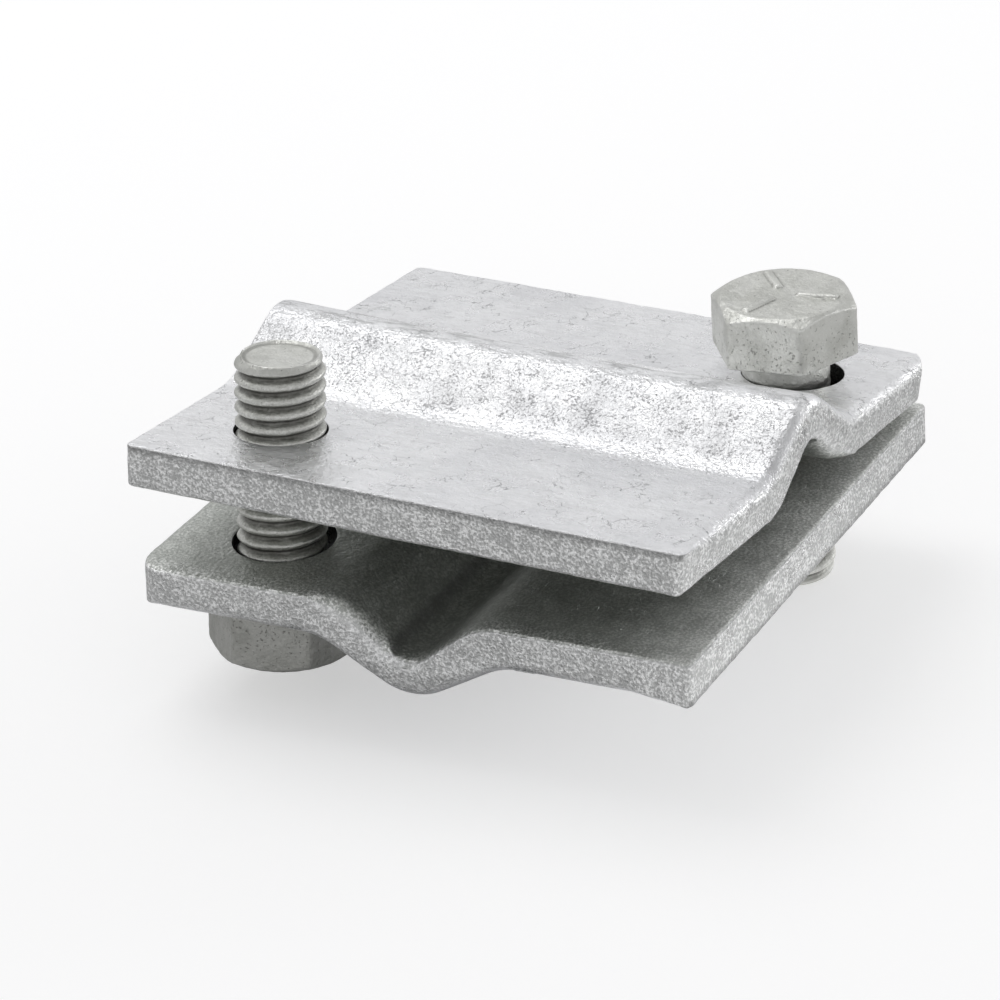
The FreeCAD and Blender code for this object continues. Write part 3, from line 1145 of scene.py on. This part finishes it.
# %% Mixing the plates' zinc
def plate_zinc():
    """The finish of both plates."""
    finish = Finish("plate_zinc_finish")
    place = finish.place()
    mask = {name: finish.mask(name) for name in PLATE_MASKS}
    pits = face_pits(finish, place, mask["flank"])
    cracks = face_cracks(finish, place, mask["flank"])
    grain = finish.noise(place, PEPPER_GRAIN, 2.0, 0.6)
    grains = salt(finish, place, grain)

    pressed = face_colour(finish, place, mask["crest"], pits, cracks)
    inner = clamping_colour(finish, grains, mask["brim"], mask["open_side"])
    cut = finish.mix(grains, WALL_PEPPER, WALL_SALT)
    colour = finish.mix(mask["wall"], finish.mix(mask["clamping"], pressed, inner), cut)
    # Painted shade in a band just under the front wall's top edge.
    colour = finish.mix(finish.times(mask["brow"], BROW_SHADE_STRENGTH), colour, BROW_SHADE)
    # Painted shade darkens the walls of the holes nearly to black.
    colour = finish.mix(finish.times(mask["bore"], BORE_SHADE_STRENGTH), colour, BORE_SHADE)
    dents = finish.most(pits, cracks)
    finish.feed(finish.shader.inputs["Base Color"], colour)
    finish.feed(finish.shader.inputs["Metallic"], METAL)
    finish.feed(finish.shader.inputs["Roughness"], plate_gloss(finish, place, mask))
    relief = plate_relief(finish, place, mask, grain, dents)
    finish.feed(finish.shader.inputs["Normal"], relief)
    return finish.material


# %% [markdown]
# ## The bolts' zinc: painted shade
# The bolts were coated separately.  Painted shade lies dark in the thread's roots,
# faintly on the end's chamfer, in the sunk ring of the end face and in every crevice.
# The sides of the front bolt's head, which hangs towards the floor, get much more of it
# than the other's.  A bolt is round, so the finish reads the height along it and the
# distance from its axis.

# %% Where the painted shade lies
THREAD_START = (NECK, NECK + 0.4 * MM)
END_ZONE = (BOLT_LENGTH - 1.2 * MM, BOLT_LENGTH - 0.8 * MM)
ROOT_RADII = (4.05 * MM, 4.55 * MM)
CHAMFER_RADII = (4.1 * MM, 4.25 * MM)
RING_INSIDE = (3.35 * MM, 3.6 * MM)
RING_OUTSIDE = (3.8 * MM, 3.95 * MM)
HEAD_SIDE_RADII = (6.6 * MM, 7.0 * MM)
ROOT_SHADE = 0.9
CHAMFER_SHADE = 0.2
RING_SHADE = 0.45
CREVICE_SHADE = 0.8
PAINTED_SHADE_STRENGTH = 0.92
PAINTED_SHADE = (0.06, 0.058, 0.05, 1)


# %% Mixing the painted shade
def height_and_radius(finish, place):
    """How high each point lies along the bolt, and how far it is from its axis."""
    split = finish.nodes.new("ShaderNodeSeparateXYZ")
    finish.feed(split.inputs[0], place)
    length = finish.nodes.new("ShaderNodeVectorMath")
    length.operation = "LENGTH"
    finish.feed(length.inputs[0], finish.stretched(place, (1, 1, 0)))
    return split.outputs["Z"], length.outputs["Value"]


def bolt_shade(finish, radius, on_shank, below_end, head_shade):
    """1 where the bolt gets the most painted shade."""
    above = finish.math("SUBTRACT", 1.0, below_end)
    root = finish.levels(radius, *ROOT_RADII, ROOT_SHADE, 0.0)
    root = finish.times(root, finish.times(on_shank, below_end))
    chamfer = finish.levels(radius, *CHAMFER_RADII)
    chamfer = finish.times(chamfer, finish.times(above, CHAMFER_SHADE))
    ring = finish.levels(radius, *RING_INSIDE)
    ring = finish.times(ring, finish.levels(radius, *RING_OUTSIDE, RING_SHADE, 0.0), above)
    crevice = finish.times(finish.mask("crevice"), CREVICE_SHADE)
    # Painted shade on the sides of the head.
    head_side_shade = finish.levels(radius, *HEAD_SIDE_RADII, 0.0, head_shade)
    return finish.most(root, finish.most(chamfer, ring), crevice, head_side_shade)


# %% [markdown]
# ## The bolts' zinc: coat
# The coat is duller and a little warmer than the plates', full of small pits that
# crowd low on the head's sides, and greyer on the thread.  A painted highlight runs
# along the ridgelines.

# %% Sizes and colours of the coat
COAT_CLOUD_GRAIN = 3.5 * MM
COAT_CLOUDY = (0.4, 0.65)
COAT_GRAIN = 0.3 * MM
COAT_GRAINED = (0.5, 0.75)
COAT_GRAIN_STRENGTH = 0.5
COAT_PIT_GRAIN = 0.32 * MM
COAT_PITTED = (0.66, 0.76)
COAT_PIT_STRENGTH = 0.6
HEAD_SIDE_HEIGHTS = (-4.5 * MM, -2.0 * MM)
CROWDING_BY_HEIGHT = (0.2, 1.0)
HEAD_PIT_RADII = (5.5 * MM, 6.9 * MM)
HEAD_CROWDING = 0.07
THREAD_GRAINED = (0.35, 0.65)
THREAD_STRENGTH = 0.4
HIGHLIGHT_BY_SHANK = (0.7, 0.35)
COAT_GLOSS_GRAIN = 2 * MM
COAT_ROUGHNESS = (0.34, 0.48)
COAT_WAVE_GRAIN = 0.9 * MM
COAT_WAVE_RELIEF = 0.13 * MM
COAT_GRAIN_RELIEF = 0.07 * MM
LIGHT_COAT = (0.69, 0.695, 0.66, 1)
DARK_COAT = (0.57, 0.575, 0.54, 1)
GRAIN_COAT = (0.80, 0.805, 0.78, 1)
THREAD_COAT = (0.30, 0.30, 0.275, 1)
HIGHLIGHT_COAT = (0.92, 0.92, 0.90, 1)
COAT_PIT = (0.20, 0.20, 0.18, 1)


# %% Mixing the bolts' zinc
def coat_pits(finish, place, height, radius):
    """1 in small pits, which crowd low on the sides of the head."""
    low_on_head = finish.levels(height, *HEAD_SIDE_HEIGHTS, *CROWDING_BY_HEIGHT)
    crowding = finish.levels(radius, *HEAD_PIT_RADII, 0.0, HEAD_CROWDING)
    crowding = finish.times(crowding, low_on_head)
    pits = finish.plus(finish.noise(place, COAT_PIT_GRAIN, 2.0, 0.5), crowding)
    return finish.levels(pits, *COAT_PITTED)


def coat_colour(finish, place, grain, pits, on_shank, below_end):
    """The coat with its clouds, grain and pits, greyer thread and painted highlights on the ridgelines."""
    clouds = finish.levels(finish.noise(place, COAT_CLOUD_GRAIN, 4.0, 0.6), *COAT_CLOUDY)
    coat = finish.mix(clouds, LIGHT_COAT, DARK_COAT)
    grained = finish.levels(grain, *COAT_GRAINED, 0.0, COAT_GRAIN_STRENGTH)
    coat = finish.mix(grained, coat, GRAIN_COAT)
    coat = finish.mix(finish.times(pits, COAT_PIT_STRENGTH), coat, COAT_PIT)
    threaded = finish.levels(grain, *THREAD_GRAINED, THREAD_STRENGTH, 0.0)
    threaded = finish.times(on_shank, threaded, below_end)
    coat = finish.mix(threaded, coat, THREAD_COAT)
    # Painted highlight along the ridgelines, weaker on the thread.
    highlight = finish.levels(on_shank, 0.0, 1.0, *HIGHLIGHT_BY_SHANK)
    return finish.mix(finish.times(finish.mask("ridgeline"), highlight), coat, HIGHLIGHT_COAT)


def bolt_zinc(name, head_shade):
    """A bolt's finish; the second argument is how much painted shade darkens the sides of its head."""
    finish = Finish(name)
    place = finish.place()
    height, radius = height_and_radius(finish, place)
    on_shank = finish.levels(height, *THREAD_START)
    below_end = finish.levels(height, *END_ZONE, 1.0, 0.0)
    grain = finish.noise(place, COAT_GRAIN, 3.0, 0.65)
    pits = coat_pits(finish, place, height, radius)

    shade_share = bolt_shade(finish, radius, on_shank, below_end, head_shade)
    coat = coat_colour(finish, place, grain, pits, on_shank, below_end)
    # Painted shade darkens the roots, the end's chamfer, the sunk ring, every crevice and the sides of the head.
    colour = finish.mix(finish.times(shade_share, PAINTED_SHADE_STRENGTH), coat, PAINTED_SHADE)
    patches = finish.noise(place, COAT_GLOSS_GRAIN, 3.0, 0.6)
    dullness = finish.levels(patches, *GLOSS_PATCHES, *COAT_ROUGHNESS)
    relief = finish.bump(finish.noise(place, COAT_WAVE_GRAIN, 3.0, 0.55), COAT_WAVE_RELIEF)
    relief = finish.bump(finish.times(pits, -1.0), DENT_RELIEF, relief)
    relief = finish.bump(grain, COAT_GRAIN_RELIEF, relief)
    finish.feed(finish.shader.inputs["Base Color"], colour)
    finish.feed(finish.shader.inputs["Metallic"], METAL)
    finish.feed(finish.shader.inputs["Roughness"], dullness)
    finish.feed(finish.shader.inputs["Normal"], relief)
    return finish.material


# %% [markdown]
# ## Finishes on their pieces
# Each piece gets its finish, and so does the construction's own node that it stands
# for, so that both look alike wherever one is shown in place of the other.

# %% Giving the pieces their finish
# How much painted shade darkens each bolt's head sides: much on the front one, which hangs towards the floor.
FRONT_HEAD_SHADE = 0.45
REAR_HEAD_SHADE = 0.03
plate_finish = plate_zinc()
FINISHES = {
    "upper_plate": plate_finish,
    "lower_plate": plate_finish,
    "front_bolt": bolt_zinc("front_bolt_zinc", FRONT_HEAD_SHADE),
    "rear_bolt": bolt_zinc("rear_bolt_zinc", REAR_HEAD_SHADE),
}
for name, finish in FINISHES.items():
    pieces[name].data.materials.clear()
    pieces[name].data.materials.append(finish)
    for slot in frame["nodes"][name].material_slots:
        slot.material = finish
    print(name, "has", finish.name, "with", len(finish.node_tree.nodes), "nodes")

# %% [markdown]
# ## Floor
# The clamp stands over a plain pale floor, which keeps its shadow.  More light would
# make the floor white, but it would bleach the clamp too.  So the floor adds a little
# light of its own to what the camera sees, and more of it to what the metal mirrors
# along the clamp's right side.

# %% Laying the floor
FLOOR_SIDE = 6.0
bpy.ops.object.select_all(action="DESELECT")
bpy.ops.mesh.primitive_plane_add(size=FLOOR_SIDE, location=(0, 0, cad_box[0][2]))
floor = bpy.context.object
floor.name = "floor"
floor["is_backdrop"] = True

# %% Painting the floor
FLOOR_GREY = (0.66, 0.66, 0.66, 1)
FLOOR_ROUGHNESS = 0.9
FLOOR_SPECULAR = 0.1
SEEN_GLOW = 0.42
MIRRORED_GLOW = 0.62
GLOW_STARTS = (-10 * MM, 30 * MM)
GLOW_FADES = (45 * MM, 70 * MM)
FAR_SHARE = 0.1
WHITE = (1, 1, 1, 1)
pale = Finish("pale_floor")
pale.feed(pale.shader.inputs["Base Color"], FLOOR_GREY)
pale.feed(pale.shader.inputs["Roughness"], FLOOR_ROUGHNESS)
pale.feed(pale.shader.inputs["Specular IOR Level"], FLOOR_SPECULAR)
pale.feed(pale.shader.inputs["Emission Color"], WHITE)
rays = pale.nodes.new("ShaderNodeLightPath")
own_place = pale.nodes.new("ShaderNodeTexCoord")
parts = pale.nodes.new("ShaderNodeSeparateXYZ")
pale.feed(parts.inputs[0], own_place.outputs["Object"])
sideways = pale.plus(pale.times(parts.outputs["Y"], 0.5), parts.outputs["X"])
beside = pale.times(
    pale.levels(sideways, *GLOW_STARTS, 0.0, MIRRORED_GLOW),
    pale.levels(sideways, *GLOW_FADES, 1.0, FAR_SHARE),
)
for_camera = pale.times(rays.outputs["Is Camera Ray"], SEEN_GLOW)
for_metal = pale.times(rays.outputs["Is Glossy Ray"], beside)
pale.feed(pale.shader.inputs["Emission Strength"], pale.plus(for_camera, for_metal))
floor.data.materials.append(pale.material)
print("floor at height %.2f mm" % (cad_box[0][2] / MM))

# %% [markdown]
# ## Light
# The studio is a grey room of several levels.  It is brightest some 25 degrees up,
# dimmer above that and a little brighter again overhead, where a large soft lamp hangs.
# One even grey would be simpler, but a metal shows mostly what it mirrors, so these
# levels draw the ridge: its front flank mirrors the lamp, its crest the dimmer band
# and the flats the bright one.  The camera itself sees white.

# %% Lighting the room
# Each row is a height, as the sine of its angle above the horizon, and a level there.
BLUE_SHARE = 1.01
ROOM = (
    (0.0, 0.60),
    (0.2, 0.76),
    (0.42, 0.94),
    (0.54, 0.58),
    (0.74, 0.40),
    (0.88, 0.62),
    (1.0, 0.65),
)
world = bpy.data.worlds.new("studio")
bpy.context.scene.world = world
world.use_nodes = True
nodes = world.node_tree.nodes
links = world.node_tree.links
background = nodes["Background"]
direction = nodes.new("ShaderNodeTexCoord")
split = nodes.new("ShaderNodeSeparateXYZ")
links.new(direction.outputs["Generated"], split.inputs[0])
bands = nodes.new("ShaderNodeValToRGB")
links.new(split.outputs["Z"], bands.inputs["Fac"])
while len(bands.color_ramp.elements) < len(ROOM):
    bands.color_ramp.elements.new(0.5)
for element, (height, level) in zip(bands.color_ramp.elements, ROOM):
    element.position = height
    element.color = (level, level, level * BLUE_SHARE, 1)
camera_rays = nodes.new("ShaderNodeLightPath")
choice = nodes.new("ShaderNodeMix")
choice.data_type = "RGBA"
links.new(camera_rays.outputs["Is Camera Ray"], choice.inputs["Factor"])
links.new(bands.outputs["Color"], choice.inputs["A"])
choice.inputs["B"].default_value = WHITE
links.new(choice.outputs["Result"], background.inputs["Color"])
background.inputs["Strength"].default_value = 1.0
print("levels in the room:", len(bands.color_ramp.elements))

# %% [markdown]
# ## Lamps
# The large lamp overhead gives the soft shadow and the bright flank.  A smaller one
# stands low behind the clamp's right side, where it draws the worn edges.  Both face
# the clamp: a lamp shines along its own minus Z, so its Z is turned away from it.

# %% Hanging the lamps
LAMP_DISTANCE = 0.9
SOFT_LAMP = {"direction": (-0.386, 0.204, 0.90), "side": 0.6, "power": 2.08}
BACK_LAMP = {"direction": (0.60, 0.78, 0.20), "side": 0.3, "power": 0.9}


def hang_lamp(name, direction, side, power):
    """Adds a square lamp that faces the origin from this direction."""
    data = bpy.data.lights.new(name, "AREA")
    data.shape = "SQUARE"
    data.size = side
    data.energy = power
    lamp = bpy.data.objects.new(name, data)
    bpy.context.scene.collection.objects.link(lamp)
    away = Vector(direction).normalized()
    lamp.location = away * LAMP_DISTANCE
    lamp.rotation_euler = away.to_track_quat("Z", "Y").to_euler()


hang_lamp("soft_lamp", **SOFT_LAMP)
hang_lamp("back_lamp", **BACK_LAMP)
print("lamps:", SOFT_LAMP["power"], "and", BACK_LAMP["power"], "W")

# %% [markdown]
# ## Camera
# The camera stands to the front right and looks down by 26 degrees, with a long lens,
# rolled a little.  These values were fitted to the corners of both plates.  It looks
# at the origin, and a small shift moves the clamp to its place in the picture.

# %% Setting the camera
CAMERA_ELEVATION = 0.461044
CAMERA_ROLL = 0.065077
CAMERA_DISTANCE = 0.46573
SENSOR_MM = 36
IMAGE_PIXELS = 1000
FOCAL_PIXELS = 4391.6
ORIGIN_PIXEL_X = 539.1
ORIGIN_PIXEL_Y = 482.2
back = Vector((
    math.sin(CAMERA_AZIMUTH) * math.cos(CAMERA_ELEVATION),
    -math.cos(CAMERA_AZIMUTH) * math.cos(CAMERA_ELEVATION),
    math.sin(CAMERA_ELEVATION),
))
right = Vector((math.cos(CAMERA_AZIMUTH), math.sin(CAMERA_AZIMUTH), 0))
up = back.cross(right)
rolled_right = math.cos(CAMERA_ROLL) * right - math.sin(CAMERA_ROLL) * up
rolled_up = math.sin(CAMERA_ROLL) * right + math.cos(CAMERA_ROLL) * up
lens = bpy.data.cameras.new("camera")
lens.sensor_width = SENSOR_MM
lens.lens = FOCAL_PIXELS / IMAGE_PIXELS * SENSOR_MM
lens.shift_x = (IMAGE_PIXELS / 2 - ORIGIN_PIXEL_X) / IMAGE_PIXELS
lens.shift_y = (ORIGIN_PIXEL_Y - IMAGE_PIXELS / 2) / IMAGE_PIXELS
camera = bpy.data.objects.new("camera", lens)
bpy.context.scene.collection.objects.link(camera)
facing = Matrix((rolled_right, rolled_up, back)).transposed().to_4x4()
camera.matrix_world = Matrix.Translation(back * CAMERA_DISTANCE) @ facing
bpy.context.scene.camera = camera
bpy.context.scene.view_settings.view_transform = "Standard"
print("camera looks down by %.1f degrees" % math.degrees(CAMERA_ELEVATION))

# %% [markdown]
# ## Sizes at the end
# The finished model must be as large as the construction, so both boxes are kept side
# by side.

# %% Printing both boxes
new_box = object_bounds()
for name, box in (("construction", cad_box), ("model", new_box)):
    print(name, [[round(v / MM, 2) for v in c] for c in box])
